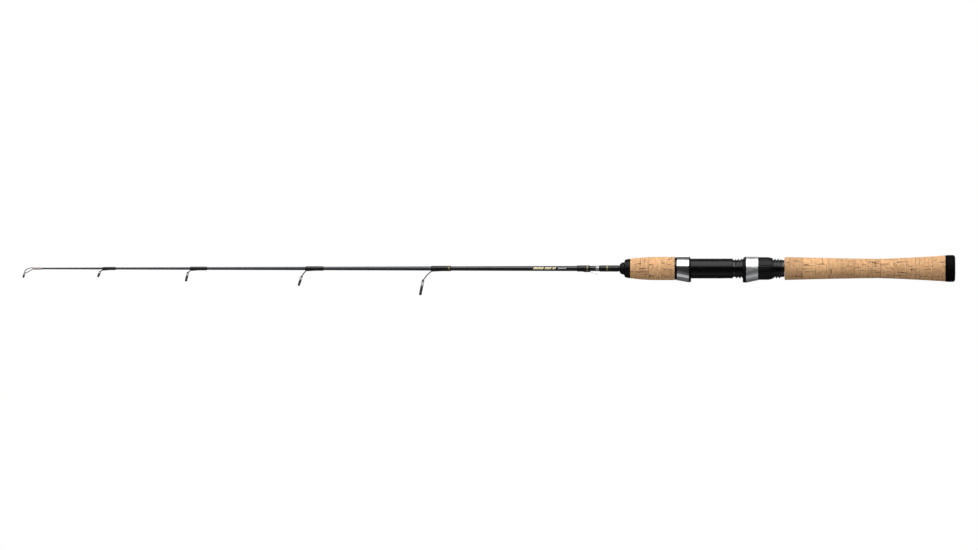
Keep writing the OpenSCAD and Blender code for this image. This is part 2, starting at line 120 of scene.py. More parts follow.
def outline(node):
    """(x, radius) at each step of a turned CAD node, butt end first. Its bore, which is close
    to the blank, is left out."""
    bore_gap = 0.2 * MM
    co = corners(node)
    radius = np.hypot(co[:, 1], co[:, 2])
    outside = radius > blank_radius(co[:, 0]) + bore_gap
    radius, xs = radius[outside], np.round(co[outside, 0], 5)
    return [(x, np.max(radius[xs == x])) for x in sorted(set(xs), reverse=True)]


# ---- building meshes ----


def piece(name, verts, faces, material, nodes, slot, body="rod", sharp=40):
    """A mesh object that stands for CAD nodes and rides on their body. It is smooth, but for
    edges that turn more than sharp degrees."""
    mesh = bpy.data.meshes.new(name)
    mesh.from_pydata([tuple(v) for v in verts], [], [tuple(f) for f in faces])
    mesh.validate()
    mesh.shade_smooth()
    mesh.set_sharp_from_angle(angle=math.radians(sharp))
    for m in material if isinstance(material, list) else [material]:
        mesh.materials.append(m)
    obj = add_object(name, mesh)
    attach(obj, body)
    if nodes:
        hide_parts(*nodes)
    return obj


def skin(grid, capped=False):
    """Vertices and faces of a grid [row, column, xyz]. The last column joins the first, and
    the last row joins the first too, unless flat ends cap the grid."""
    rows, cols = grid.shape[:2]
    last = rows - 1 if capped else rows
    i = np.repeat(np.arange(last), cols)
    j = np.tile(np.arange(cols), last)
    next_j, next_row = (j + 1) % cols, ((i + 1) % rows) * cols
    faces = np.stack([i * cols + j, i * cols + next_j, next_row + next_j, next_row + j], 1).tolist()
    if capped:
        faces.append(list(range(cols))[::-1])
        faces.append([(rows - 1) * cols + j for j in range(cols)])
    return grid.reshape(-1, 3), faces


def around(cols):
    """Angles round the rod's axis, from +Y towards +Z."""
    return np.arange(cols) * 2 * math.pi / cols


def polar(x, radius, angle):
    """Points at x, radius and angle round the rod's axis."""
    x, radius, angle = np.broadcast_arrays(x, radius, angle)
    return np.stack([x, radius * np.cos(angle), radius * np.sin(angle)], -1)


def rounded(points, radii, steps=5):
    """The polygon with each corner turned into an arc of about its radius, unless that is 0.
    No arc takes more than 0.45 of a side."""
    made = []
    points = np.array(points, float)
    for i, (p, r) in enumerate(zip(points, radii)):
        if r <= 0:
            made.append(p)
            continue
        a, b = points[i - 1] - p, points[(i + 1) % len(points)] - p
        la, lb = np.linalg.norm(a), np.linalg.norm(b)
        half = math.acos(np.clip(a @ b / (la * lb), -1, 1)) / 2
        cut = min(r / max(math.tan(half), 1e-6), 0.45 * la, 0.45 * lb)
        start, end = p + a / la * cut, p + b / lb * cut
        for k in range(steps + 1):
            t = k / steps
            made.append((1 - t) ** 2 * start + 2 * t * (1 - t) * p + t * t * end)
    return made


def split(points, step):
    """The closed polygon, a list of points, with no side longer than step."""
    made = []
    for p, q in zip(points, points[1:] + points[:1]):
        n = max(1, math.ceil(np.linalg.norm(q - p) / step))
        made += [p + (q - p) * k / n for k in range(n)]
    return made


def turned(name, loop, cols, material, node, slot):
    """A solid of revolution from a closed loop of (x, radius), all off the axis."""
    loop = np.array(loop)
    grid = polar(loop[:, :1], loop[:, 1:], around(cols)[None, :])
    piece(name, *skin(grid), material, [node], slot)


def tangents(path):
    """Unit tangents of a path of points."""
    padded = np.vstack([path[:1], path, path[-1:]])
    tangent = padded[2:] - padded[:-2]
    return tangent / np.linalg.norm(tangent, axis=1)[:, None]


ROUND_END = (0.35, 0.75, 0.95)  # sizes of the sections that round off a bar's end


def sweep(path, wide, thick, across=(0, 1, 0), cols=20, power=2.0):
    """Grid of a bar along a path, its ends round. wide lies along across, thick lies square
    to it, and a power above 2 squares its section up."""
    path, across = np.array(path, float), np.array(across, float)
    n = len(path)
    wide, thick = np.broadcast_to(wide, n), np.broadcast_to(thick, n)
    tangent = tangents(path)
    side = across - tangent * (tangent @ across)[:, None]
    side /= np.linalg.norm(side, axis=1)[:, None]
    normal = np.cross(tangent, side)
    a = around(cols)
    c, s = np.cos(a), np.sin(a)
    u, v = np.sign(c) * np.abs(c) ** (2 / power), np.sign(s) * np.abs(s) ** (2 / power)
    rows = []
    stations = [(0, e) for e in ROUND_END] + [(i, 1.0) for i in range(n)]
    for i, size in stations + [(n - 1, e) for e in ROUND_END[::-1]]:
        push = 0.0
        if size < 1:
            push = math.sqrt(1 - size * size) * thick[i] / 2 * (-1 if i == 0 else 1)
        middle = path[i] + tangent[i] * push
        rows.append(
            middle
            + np.outer(u * wide[i] / 2 * size, side[i])
            + np.outer(v * thick[i] / 2 * size, normal[i])
        )
    return np.array(rows)


def join(*parts):
    """Several (vertices, faces) pairs as one."""
    verts, faces, base = [], [], 0
    for v, f in parts:
        verts.append(np.array(v))
        faces += [[base + i for i in face] for face in f]
        base += len(v)
    return np.concatenate(verts), faces


def curve(controls, count):
    """A smooth path through control points, by centripetal Catmull-Rom spans."""
    p = np.array(controls, float)
    p = np.vstack([2 * p[0] - p[1], p, 2 * p[-1] - p[-2]])
    knots = np.concatenate([[0], np.cumsum(np.linalg.norm(np.diff(p, axis=0), axis=1) ** 0.5)])
    made = []
    for i in range(1, len(p) - 2):
        t = np.linspace(knots[i], knots[i + 1], count, endpoint=False)[:, None]
        k = knots[i - 1 : i + 3]
        level = p[i - 1 : i + 3]
        for span, first in ((1, 0), (2, 0), (1, 1)):
            level = [
                (k[j + span] - t) / (k[j + span] - k[j]) * a + (t - k[j]) / (k[j + span] - k[j]) * b
                for j, (a, b) in enumerate(zip(level, level[1:]), first)
            ]
        made.append(level[0])
    return np.vstack(made + [p[-2][None]])


def smooth_step(t):
    """0 below 0, 1 above 1, and an easy slope between."""
    t = np.clip(t, 0, 1)
    return t * t * (3 - 2 * t)


# ---- materials ----


def set_stops(ramp, stops):
    """Give a colour ramp its stops of (place, colour or grey)."""
    while len(ramp.elements) < len(stops):
        ramp.elements.new(0.5)
    for element, (place, colour) in zip(ramp.elements, stops):
        element.position = place
        element.color = (*([colour] * 3 if isinstance(colour, float) else colour), 1)


class Paint:
    """A material with a Principled shader and short ways to add nodes."""

    def __init__(self, name, **sockets):
        self.material = bpy.data.materials.new(name)
        self.material.use_nodes = True
        self.nodes = self.material.node_tree.nodes
        self.shader = self.nodes["Principled BSDF"]
        for socket, value in sockets.items():
            self.shader.inputs[socket.replace("_", " ")].default_value = value

    def add(self, kind, **values):
        """A node of this kind. Names in values are properties or input sockets."""
        node = self.nodes.new(kind)
        for key, value in values.items():
            if hasattr(node, key):
                setattr(node, key, value)
            else:
                node.inputs[key.replace("_", " ")].default_value = value
        return node

    def link(self, source, target):
        """A link from an output socket to an input socket."""
        self.material.node_tree.links.new(source, target)

    def place(self, scale=(1, 1, 1)):
        """Object coordinates, in millimetres, stretched by scale."""
        coords = self.add("ShaderNodeTexCoord")
        mapping = self.add("ShaderNodeMapping")
        mapping.inputs["Scale"].default_value = [s / MM for s in scale]
        self.link(coords.outputs["Object"], mapping.inputs["Vector"])
        return mapping.outputs["Vector"]

    def noise(self, vector, scale, detail=4.0, roughness=0.55, distortion=0.0):
        """Noise of about scale spots to the millimetre."""
        node = self.add(
            "ShaderNodeTexNoise", Scale=scale, Detail=detail, Roughness=roughness, Distortion=distortion
        )
        self.link(vector, node.inputs["Vector"])
        return node.outputs["Fac"]

    def ramp(self, factor, stops):
        """A colour ramp over the factor."""
        node = self.add("ShaderNodeValToRGB")
        set_stops(node.color_ramp, stops)
        self.link(factor, node.inputs["Fac"])
        return node.outputs["Color"]

    def spread(self, factor, low, high):
        """The factor's 0 to 1 turned into low to high."""
        node = self.add("ShaderNodeMapRange")
        node.inputs["To Min"].default_value = low
        node.inputs["To Max"].default_value = high
        self.link(factor, node.inputs["Value"])
        return node.outputs["Result"]

    def mix(self, factor, a, b):
        """Colour a where the factor is 0 and b where it's 1. Each may be an output."""
        node = self.add("ShaderNodeMix", data_type="RGBA")
        for socket, value in (("Factor", factor), ("A", a), ("B", b)):
            target = [s for s in node.inputs if s.name == socket and s.enabled][0]
            if hasattr(value, "is_output"):
                self.link(value, target)
            else:
                target.default_value = value if isinstance(value, float) else (*value, 1)
        return [s for s in node.outputs if s.enabled][0]

    def bump(self, height, distance, strength=1.0):
        """Relief of this distance, in metres, over the height's 0 to 1."""
        node = self.add("ShaderNodeBump", Strength=strength, Distance=distance)
        self.link(height, node.inputs["Height"])
        self.link(node.outputs["Normal"], self.shader.inputs["Normal"])

    def colour(self, output):
        """The output as the base colour."""
        self.link(output, self.shader.inputs["Base Color"])

    def roughness(self, output):
        """The output as the roughness."""
        self.link(output, self.shader.inputs["Roughness"])


def moulded(name, dark, light, rough, shine, grain, depth):
    """Black moulded plastic or rubber: a fine grain of this depth, with uneven gloss."""
    patches = 0.35
    p = Paint(name, Specular_IOR_Level=shine)
    fine = p.noise(p.place(), grain)
    broad = p.noise(p.place(), patches)
    p.colour(p.ramp(broad, [(0.35, dark), (0.7, light)]))
    p.roughness(p.spread(broad, rough - 0.05, rough + 0.07))
    p.bump(fine, depth)
    return p.material


def steel(name, colour, rough, brushed, wear):
    """Stainless steel with fine lines round the rod's axis and soft handling marks. brushed is
    how far the lines shift the roughness, and wear how dark the marks are."""
    p = Paint(name, Metallic=1.0, Anisotropic=0.3)
    lines = p.noise(p.place((3.0, 0.08, 0.08)), 3.0, 5.0, 0.7)
    marks = p.noise(p.place(), 0.45, 3.0)
    deep = tuple(c * (1 - wear) for c in colour)
    p.colour(p.mix(p.ramp(marks, [(0.3, 0.0), (0.7, 1.0)]), deep, colour))
    p.roughness(p.spread(lines, rough - brushed, rough + brushed))
    p.bump(lines, 0.012 * MM, 0.6)
    return p.material


CORK_LIGHT, CORK_MIDDLE, CORK_BROWN = (0.74, 0.445, 0.225), (0.65, 0.36, 0.165), (0.36, 0.17, 0.065)
PORE_BROWN = (0.04, 0.017, 0.008)


def cork(name, tone, streaks, seed):
    """Sanded cork: pale tan cells, darker bands of growth, brown pores and fissures. tone
    scales its colours, streaks is how strong the bands are, and the seed shifts the noise."""
    p = Paint(name, Specular_IOR_Level=0.28, Sheen_Weight=0.08, Sheen_Roughness=0.5)
    shift = p.add("ShaderNodeVectorMath", operation="ADD")
    shift.inputs[1].default_value = (seed * 7.3, seed * 3.1, seed * 5.7)
    p.link(p.place(), shift.inputs[0])
    spot = shift.outputs["Vector"]
    stretch = p.add("ShaderNodeVectorMath", operation="MULTIPLY")
    stretch.inputs[1].default_value = (1.0, 0.16, 0.16)
    p.link(spot, stretch.inputs[0])
    cells = p.noise(spot, 3.2, 6.0, 0.7)
    cloud = p.noise(spot, 0.28, 3.0, 0.6)
    bands = p.noise(stretch.outputs["Vector"], 1.1, 4.0, 0.6, 0.4)
    light, middle, brown = (
        tuple(c * tone for c in colour) for colour in (CORK_LIGHT, CORK_MIDDLE, CORK_BROWN)
    )
    base = p.ramp(cloud, [(0.34, middle), (0.6, light)])
    base = p.mix(p.ramp(bands, [(0.48, 0.0), (0.7, streaks)]), base, brown)
    base = p.mix(p.ramp(cells, [(0.5, 0.0), (0.8, 0.55)]), base, brown)
    pore = p.add("ShaderNodeAttribute", attribute_name="pore").outputs["Fac"]
    p.colour(p.mix(p.ramp(pore, [(0.05, 0.0), (0.75, 1.0)]), base, PORE_BROWN))
    p.roughness(p.spread(cells, 0.62, 0.82))
    p.bump(cells, 0.05 * MM, 0.6)
    return p.material


def thread(name, colour, rough, metallic=0.0, shine=0.5, coat=0.6):
    """Wound thread under clear varnish: close turns across the rod's axis."""
    p = Paint(
        name, Metallic=metallic, Roughness=rough, Specular_IOR_Level=shine, Coat_Weight=coat,
        Coat_Roughness=0.08,
    )
    wave = p.add("ShaderNodeTexWave", wave_type="BANDS", bands_direction="X", Scale=1.1)
    wave.inputs["Distortion"].default_value = 0.4
    p.link(p.place(), wave.inputs["Vector"])
    dim = tuple(c * 0.55 for c in colour)
    p.colour(p.mix(wave.outputs["Fac"], dim, colour))
    return p.material


def blank_gloss():
    """Black paint under thick clear coat, faintly uneven."""
    p = Paint("blank_gloss", Coat_Weight=0.3, Coat_Roughness=0.05, Roughness=0.2)
    streaks = p.noise(p.place((0.05, 1, 1)), 1.5)
    p.colour(p.ramp(streaks, [(0.3, (0.002, 0.002, 0.002)), (0.7, (0.006, 0.006, 0.007))]))
    p.bump(p.noise(p.place((0.2, 1, 1)), 0.8), 0.01 * MM, 0.4)
    return p.material


def blank_graphite():
    """Satin grey graphite with fibre streaks along the rod and faint turns of tape round it."""
    p = Paint("blank_graphite", Metallic=0.7, Coat_Weight=0.3, Coat_Roughness=0.25)
    fibres = p.noise(p.place((0.04, 1.6, 1.6)), 3.0, 5.0, 0.6)
    tape = p.add("ShaderNodeTexWave", wave_type="BANDS", bands_direction="X", Scale=0.09)
    p.link(p.place(), tape.inputs["Vector"])
    base = p.ramp(fibres, [(0.3, (0.035, 0.038, 0.042)), (0.75, (0.07, 0.075, 0.082))])
    p.colour(p.mix(p.ramp(tape.outputs["Fac"], [(0.6, 0.0), (1.0, 0.25)]), base, (0.03, 0.032, 0.036)))
    p.roughness(p.spread(fibres, 0.3, 0.45))
    p.bump(tape.outputs["Fac"], 0.008 * MM, 0.5)
    return p.material


def ceramic():
    """Polished dark ceramic."""
    p = Paint("dark_ceramic", Roughness=0.12, Coat_Weight=0.5, Coat_Roughness=0.04)
    p.colour(p.ramp(p.noise(p.place(), 1.8), [(0.3, (0.02, 0.021, 0.023)), (0.7, (0.045, 0.047, 0.05))]))
    return p.material


def foam():
    """Rigid foam of the arbors inside the seat."""
    p = Paint("arbor_foam", Roughness=0.9)
    bubbles = p.noise(p.place(), 4.0, 6.0, 0.7)
    p.colour(p.ramp(bubbles, [(0.35, (0.36, 0.24, 0.11)), (0.7, (0.6, 0.44, 0.24))]))
    p.bump(bubbles, 0.1 * MM)
    return p.material


def paint_mark(name, colour):
    """Flat paint with a little speckle, under gloss."""
    p = Paint(name, Roughness=0.4, Coat_Weight=0.5, Coat_Roughness=0.05)
    dim = tuple(c * 0.8 for c in colour)
    p.colour(p.mix(p.noise(p.place(), 5.0), dim, colour))
    return p.material


CERAMIC = ceramic()
CHECK_RUBBER = moulded("check_rubber", 0.003, 0.006, 0.34, 0.13, 6.0, 0.015 * MM)
CAP_RUBBER = moulded("cap_rubber", 0.0015, 0.003, 0.6, 0.035, 7.0, 0.05 * MM)
SEAT_PLASTIC = moulded("seat_plastic", 0.0015, 0.003, 0.24, 0.24, 1.6, 0.004 * MM)
THREAD_PLASTIC = moulded("seat_thread_plastic", 0.0015, 0.003, 0.2, 0.6, 1.6, 0.004 * MM)
NUT_PLASTIC = moulded("nut_plastic", 0.002, 0.004, 0.34, 0.2, 5.0, 0.01 * MM)
LINER_PLASTIC = moulded("liner_plastic", 0.0015, 0.003, 0.38, 0.14, 5.0, 0.01 * MM)
HOOD_STEEL = steel("polished_stainless", (0.86, 0.87, 0.89), 0.15, 0.04, 0.06)
BRUSHED_STEEL = steel("brushed_stainless", (0.95, 0.96, 0.98), 0.4, 0.08, 0.08)
GUIDE_STEEL = steel("stainless_frame", (0.2, 0.2, 0.205), 0.4, 0.05, 0.15)
KEEPER_STEEL = steel("keeper_wire", (0.85, 0.85, 0.87), 0.3, 0.04, 0.05)
TIP_STEEL = steel("tip_tube_metal", (0.42, 0.37, 0.355), 0.5, 0.05, 0.15)
BLACK_THREAD = thread("varnished_thread", (0.003, 0.003, 0.0035), 0.35, shine=0.25, coat=0.3)
GOLD_THREAD = thread("gold_thread", (0.22, 0.185, 0.085), 0.4, metallic=0.6)
SILVER_THREAD = thread("silver_thread", (0.45, 0.45, 0.47), 0.4, metallic=0.6)

# ---- blank ----

PAINT_EDGE = sum(c.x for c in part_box("guide_wrap_1")) / 2  # black paint ends under this wrap


def make_blank():
    """Closed tapered rod, gloss black by the handle and graphite beyond the first guide."""
    cols = 48
    xs = np.append(np.arange(BLANK_BUTT, BLANK_TIP, -4 * MM), BLANK_TIP)
    xs = np.sort(np.append(xs, PAINT_EDGE))[::-1]
    grid = polar(xs[:, None], blank_radius(xs)[:, None], around(cols)[None, :])
    verts, faces = skin(grid, capped=True)
    obj = piece("rod_blank", verts, faces, [blank_gloss(), blank_graphite()], ["blank"], "blank_gloss")
    for face in obj.data.polygons:
        face.material_index = int(face.center.x < PAINT_EDGE)


make_blank()

# ---- cork grips ----

CORK_COLS = 240
CORK_STEP = 0.3 * MM
CORK_SEED = 400
WHOLE_RING = 12.7  # mm
JOINT_WIDE, JOINT_DEEP, JOINT_DARK = 0.22, 0.05, 0.38  # mm, mm and share, at each end of a ring


def cork_marks(rng, reach, girth):
    """Random marks of one ring, reach long and girth round: fissures, chains of pits, growth
    lines, ticks at its ends, then pores. Each is its centre, half sizes, depth, waver and
    phase, in mm but for the phase."""
    marks = []
    share, wild = reach / WHOLE_RING, rng.uniform(0.4, 1.6)

    def count(low, high):
        """How many marks of a kind: low to high on a usual whole ring."""
        return round(rng.integers(low, high) * share * wild)

    def add(at, side, long, wide, deep, waver=0.0):
        """One more mark, with a phase of its own."""
        marks.append((at, side, long, wide, deep, waver, rng.uniform(0, 6)))

    pit_gap = 0.75
    for _ in range(count(9, 18)):
        add(rng.uniform(1, reach - 1), rng.uniform(0, girth), rng.uniform(1.6, 6.5), rng.uniform(0.14, 0.32),
            rng.uniform(0.2, 0.5), rng.uniform(0.05, 0.3))
    for _ in range(count(2, 6)):
        start, side = rng.uniform(0.5, reach / 2), rng.uniform(0, girth)
        for step in range(rng.integers(5, 11)):
            side += rng.uniform(-0.3, 0.3)
            add(start + pit_gap * step, side, rng.uniform(0.28, 0.5), rng.uniform(0.22, 0.4), 0.5)
    for _ in range(count(4, 9)):
        add(rng.uniform(1, reach - 1), rng.uniform(0, girth), rng.uniform(0.14, 0.26), rng.uniform(1.5, 6),
            rng.uniform(0.08, 0.22), 0.05)
    for end in (0.0, reach):
        for _ in range(rng.integers(4, 15)):
            add(end, rng.uniform(0, girth), rng.uniform(0.7, 2.4), rng.uniform(0.17, 0.32),
                rng.uniform(0.15, 0.4))
    for _ in range(count(30, 50)):
        size = rng.uniform(0.16, 0.4)
        add(rng.uniform(0, reach), rng.uniform(0, girth), size * rng.uniform(0.8, 1.8), size,
            rng.uniform(0.08, 0.3))
    return marks


def cork_relief(x, along, marks, girth):
    """Depth in mm and darkness, from 0 to 1, of the marks at points of a ring."""
    depth, dark = np.zeros_like(x), np.zeros_like(x)
    for mx, ms, long, wide, deep, waver, phase in marks:
        dx = x - mx
        ds = (along - ms + girth / 2) % girth - girth / 2
        ds = ds + waver * (np.sin(dx * 1.1 + phase) + 0.5 * np.sin(dx * 4.3 + 2 * phase))
        inside = np.clip(1 - (dx / long) ** 2 - (ds / wide) ** 2, 0, 1)
        depth = np.maximum(depth, deep * np.sqrt(inside))
        dark = np.maximum(dark, np.clip(inside * 1.8, 0, 1) * min(1, 0.5 + 1.3 * deep))
    return depth, dark


def make_cork(node, line, index, free):
    """One cork ring, its outside turned to the grip's line and broken by pores. Its tip end
    is eased off if it's free."""
    rng = np.random.default_rng(CORK_SEED + index)
    lo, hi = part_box(node)
    butt, tip = hi.x, lo.x
    rows = max(8, round((butt - tip) / CORK_STEP)) + 1
    xs = np.linspace(butt, tip, rows)
    station, radii = np.array(line)[::-1].T
    radius = np.interp(xs, station, radii)
    angle = around(CORK_COLS)
    girth = 2 * math.pi * radius.mean() / MM
    reach = (butt - tip) / MM
    x_mm = np.broadcast_to(((butt - xs) / MM)[:, None], (rows, CORK_COLS))
    s_mm = np.broadcast_to((angle * radius.mean() / MM)[None, :], (rows, CORK_COLS))
    depth, dark = cork_relief(x_mm, s_mm, cork_marks(rng, reach, girth), girth)
    edge = np.minimum(x_mm, reach - x_mm)
    joint = np.exp(-((edge / JOINT_WIDE) ** 2))
    outer = radius[:, None] - (depth + JOINT_DEEP * joint) * MM
    dark = np.maximum(dark, JOINT_DARK * joint)
    if free:
        ease, ease_length = 0.55 * MM, 1.1 * MM
        outer = outer - ease * np.clip(1 - np.abs(xs - tip)[:, None] / ease_length, 0, 1) ** 2
    bore = blank_radius(xs) + 0.03 * MM
    grid = polar(xs[:, None], outer, angle[None, :])
    inner = polar(xs[[-1, 0]][:, None], bore[[-1, 0]][:, None], angle[None, :])
    verts, faces = skin(np.concatenate([grid, inner]))
    tone, streaks = rng.uniform(0.84, 1.06), rng.uniform(0.35, 0.95)
    material = cork(node + "_cork", tone, streaks, index)
    obj = piece(node + "_turned", verts, faces, material, [node], "cork", sharp=60)
    attribute = obj.data.attributes.new("pore", "FLOAT", "POINT")
    values = np.zeros(len(verts), np.float32)
    values[: dark.size] = dark.ravel()
    attribute.data.foreach_set("value", values)


def make_grip(prefix, first_index, free_front):
    """All rings of one grip on one smooth line."""
    names = sorted((n for n in NODES if n.startswith(prefix)), key=lambda n: int(n.split("_")[-1]))
    line = sorted({p for n in names for p in outline(n)}, reverse=True)
    for i, node in enumerate(names):
        make_cork(node, line, first_index + i, free_front and node == names[-1])


make_grip("rear_cork_", 0, True)
make_grip("fore_cork_", 50, False)

# ---- butt cap and winding check ----


def make_cap():
    """Rubber cap: rounded rim, softly domed end, a fine moulding line round it."""
    lo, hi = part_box("butt_cap")
    wide = hi.z
    neck = outline("butt_cap")[-1][1]
    axis = 0.02 * MM  # the ends stop just short of the axis
    mould, mould_half = 0.06 * MM, 0.25 * MM
    mould_x = lo.x + 0.28 * (hi.x - lo.x)
    line = [
        (hi.x - 0.1 * MM, axis), (hi.x, 0.3 * wide), (hi.x - 0.2 * MM, wide),
        (mould_x + mould_half, wide), (mould_x, wide - mould), (mould_x - mould_half, wide - 0.03 * MM),
        (lo.x, neck), (lo.x, axis),
    ]
    fillets = [0, 2 * MM, 4.2 * MM, 0.1 * MM, 0.1 * MM, 0.1 * MM, 0.35 * MM, 0]
    turned("butt_cap_rubber", rounded(line, fillets, 10), 96, CAP_RUBBER, "butt_cap", "cap_rubber")


def make_check():
    """Stepped rubber collar with soft corners."""
    line = outline("winding_check")
    bore = blank_radius(line[0][0])
    loop = line + [(line[-1][0], bore), (line[0][0], bore)]
    fillets = [0.4 * MM] + [1.3 * MM] * (len(line) - 2) + [0.5 * MM, 0, 0]
    turned("winding_collar", rounded(loop, fillets, 8), 120, CHECK_RUBBER, "winding_check", "check_rubber")


make_cap()
make_check()

# ---- reel seat ----

seat_lo, seat_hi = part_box("reel_seat_body")
FLANGE_R = seat_hi.z
seat_points = corners("reel_seat_body")
seat_radius = np.hypot(seat_points[:, 1], seat_points[:, 2])
SEAT_BORE = seat_radius.min()
FLANGE_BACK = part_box("fixed_hood_shell")[0].x
ROOT_R = seat_radius[seat_points[:, 0] > seat_hi.x - ON_PLANE].max()
at_flange = seat_radius[np.abs(seat_points[:, 0] - FLANGE_BACK) < ON_PLANE]
BARREL_R = at_flange[at_flange < at_flange.max() - 0.5 * MM].max()
CREST = BARREL_R - 0.1 * MM - ROOT_R  # height of the thread
KEY_HALF = 1.5 * MM  # half the keyway's width
KEY_R = ROOT_R - 0.25 * MM  # radius of its floor
KEY_FRONT = -0.226  # x where the keyway ends
THREAD_FRONT = -0.218  # x where the thread ends
FIRST_TURN = THREAD_FRONT + PITCH / 2
TURNS = 15.6


def thread_height(x, angle):
    """Height of the thread over its root. It is rounded, and 0 beyond its ends."""
    turn = (x - FIRST_TURN) / PITCH - angle / (2 * math.pi)
    u = turn - np.floor(turn + 0.5)
    form = np.clip((0.5 + 0.5 * np.cos(2 * math.pi * u)) * 1.3 - 0.15, 0, 1) ** 0.9
    whole = (x - FIRST_TURN) / PITCH
    return CREST * form * smooth_step(whole + 0.3) * smooth_step(TURNS + 0.2 - whole)


def make_seat():
    """Barrel with its thread, keyway and front flange, bored through."""
    key = np.arcsin(KEY_HALF / BARREL_R)
    bottom = 1.5 * math.pi
    edge = 0.004  # radians that a wall of the keyway takes up
    walls = [bottom - key - edge, bottom - key + edge, bottom + key - edge, bottom + key + edge]
    angle = np.sort(np.concatenate([around(108), walls]))
    back = seat_hi.x
    thread_step, barrel_step = 0.2 * MM, 0.5 * MM
    xs = np.arange(back, THREAD_FRONT - 1 * MM, -thread_step)
    radius = ROOT_R + thread_height(xs[:, None], angle[None, :])
    blend = smooth_step((THREAD_FRONT + 0.3 * MM - xs) / (0.5 * MM))[:, None]
    radius = radius * (1 - blend) + BARREL_R * blend
    radius[0] -= 0.25 * MM
    front = rounded(
        [(xs[-1], BARREL_R), (FLANGE_BACK, BARREL_R), (FLANGE_BACK, FLANGE_R), (seat_lo.x, FLANGE_R),
         (seat_lo.x, SEAT_BORE)],
        [0, 0.2 * MM, 0.35 * MM, 0.35 * MM, 0],
    )
    barrel = [(x, BARREL_R) for x in np.arange(xs[-1] - 2 * MM, KEY_FRONT - 2 * MM, -barrel_step)]
    plain_x, plain_r = np.array(barrel + front[1:]).T
    grid_x = np.concatenate([xs, plain_x, [back]])
    grid_r = np.concatenate(
        [radius, np.broadcast_to(plain_r[:, None], (len(plain_r), len(angle))),
         np.full((1, len(angle)), SEAT_BORE)]
    )
    in_key = (np.abs(angle - bottom) < key)[None, :] & (grid_x[:, None] > KEY_FRONT)
    in_key[-1] = False
    grid_r = np.where(in_key, np.minimum(grid_r, KEY_R), grid_r)
    grid = polar(grid_x[:, None], grid_r, angle[None, :])
    obj = piece(
        "reel_seat_barrel", *skin(grid), [SEAT_PLASTIC, THREAD_PLASTIC], ["reel_seat_body"], "seat_plastic",
        sharp=45,
    )
    for face in obj.data.polygons:
        face.material_index = int(face.center.x > THREAD_FRONT)


make_seat()

# ---- hoods ----

SHELL_T = 0.6 * MM
FLANK = 3.4 * MM  # length of the upright flanks at the mouth
LINER_GAP = 0.02 * MM


class Hood:
    """Outer and pocket radii of a hood. face is +1 if its mouth looks at the butt."""

    def __init__(self, shell, liner, face):
        lo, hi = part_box(shell)
        self.face = face
        self.mouth, self.back = (hi.x, lo.x) if face > 0 else (lo.x, hi.x)
        self.round_r = hi.z
        self.depth = -lo.z - hi.z
        self.reach = abs(self.mouth - self.back)
        self.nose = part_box(liner)[1].x if face > 0 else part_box(liner)[0].x

    def outer(self, x, angle, inset=0.0):
        """Radius of the outside at x and angle, less an inset. The sleeve is round above. Below
        it has upright flanks that lengthen towards the mouth, and an oval floor."""
        share = 1 - (self.mouth - x) * self.face / (self.reach - 1.5 * MM)
        share = np.maximum(share, 0)
        half, flank = self.round_r - inset, FLANK * share
        low = half + self.depth * share - flank
        c, down = np.abs(np.cos(angle)), np.maximum(-np.sin(angle), 0)
        square = (c / half) ** 2 + (down / low) ** 2
        fall = flank * down / low**2
        oval_r = (fall + np.sqrt(np.maximum(fall**2 + square * (1 - (flank / low) ** 2), 0))) / square
        side = half / np.maximum(c, 1e-6)
        below = np.where(side * down <= flank, side, oval_r)
        return np.where(down > 0, below, half)

    def pocket(self, x, angle, bore):
        """Radius of the inside, opened under the barrel for the reel foot. The opening is part
        of a round of radius toe, and its floor climbs by rise over run as it goes in."""
        toe, rise, run = 9 * MM, 2.4 * MM, 8 * MM
        nose, floor = 2.2 * MM, 0.55 * MM
        inward = (self.mouth - x) * self.face + nose
        low = self.round_r + self.depth - SHELL_T - floor - rise * inward / run - toe
        opened = -low * np.sin(angle) + np.sqrt(np.maximum(toe**2 - (low * np.cos(angle)) ** 2, 0))
        return np.maximum(bore, opened)


HOOD_COLS = 120


def make_shell(name, hood, node, body, rolled, material):
    """Pressed steel shell, bevelled at its mouth and rounded at its back. rolled is the radius
    of the hole in a lip that is turned in at its back, or None where it has no lip."""
    angle = around(HOOD_COLS)
    edge, lip = 0.28 * MM, 0.7 * MM
    inward = -hood.face
    start, end = hood.mouth, hood.back
    quarter = np.linspace(0, math.pi / 2, 5)
    rows = [(start + inward * edge * (1 - math.sin(t)), edge * (1 - math.sin(t))) for t in quarter[:-1]]
    rows += [(x, 0.0) for x in np.linspace(start + inward * edge, end - inward * edge, 30)]
    rows += [(end - inward * edge * (1 - math.sin(t)), edge * (1 - math.cos(t))) for t in quarter[1:]]
    grid = [polar(x, hood.outer(x, angle, cut), angle) for x, cut in rows]
    inside = np.linspace(end, start, 14)
    if rolled:
        lip_x = end - inward * lip
        grid += [polar(end, rolled, angle), polar(lip_x, rolled, angle)]
        grid.append(polar(lip_x, hood.outer(lip_x, angle, SHELL_T), angle))
        inside = np.linspace(end - inward * (lip + 0.1 * MM), start, 14)
    grid += [polar(x, hood.outer(x, angle, SHELL_T), angle) for x in inside]
    piece(name, *skin(np.array(grid)), material, [node], "polished_stainless", body, sharp=50)


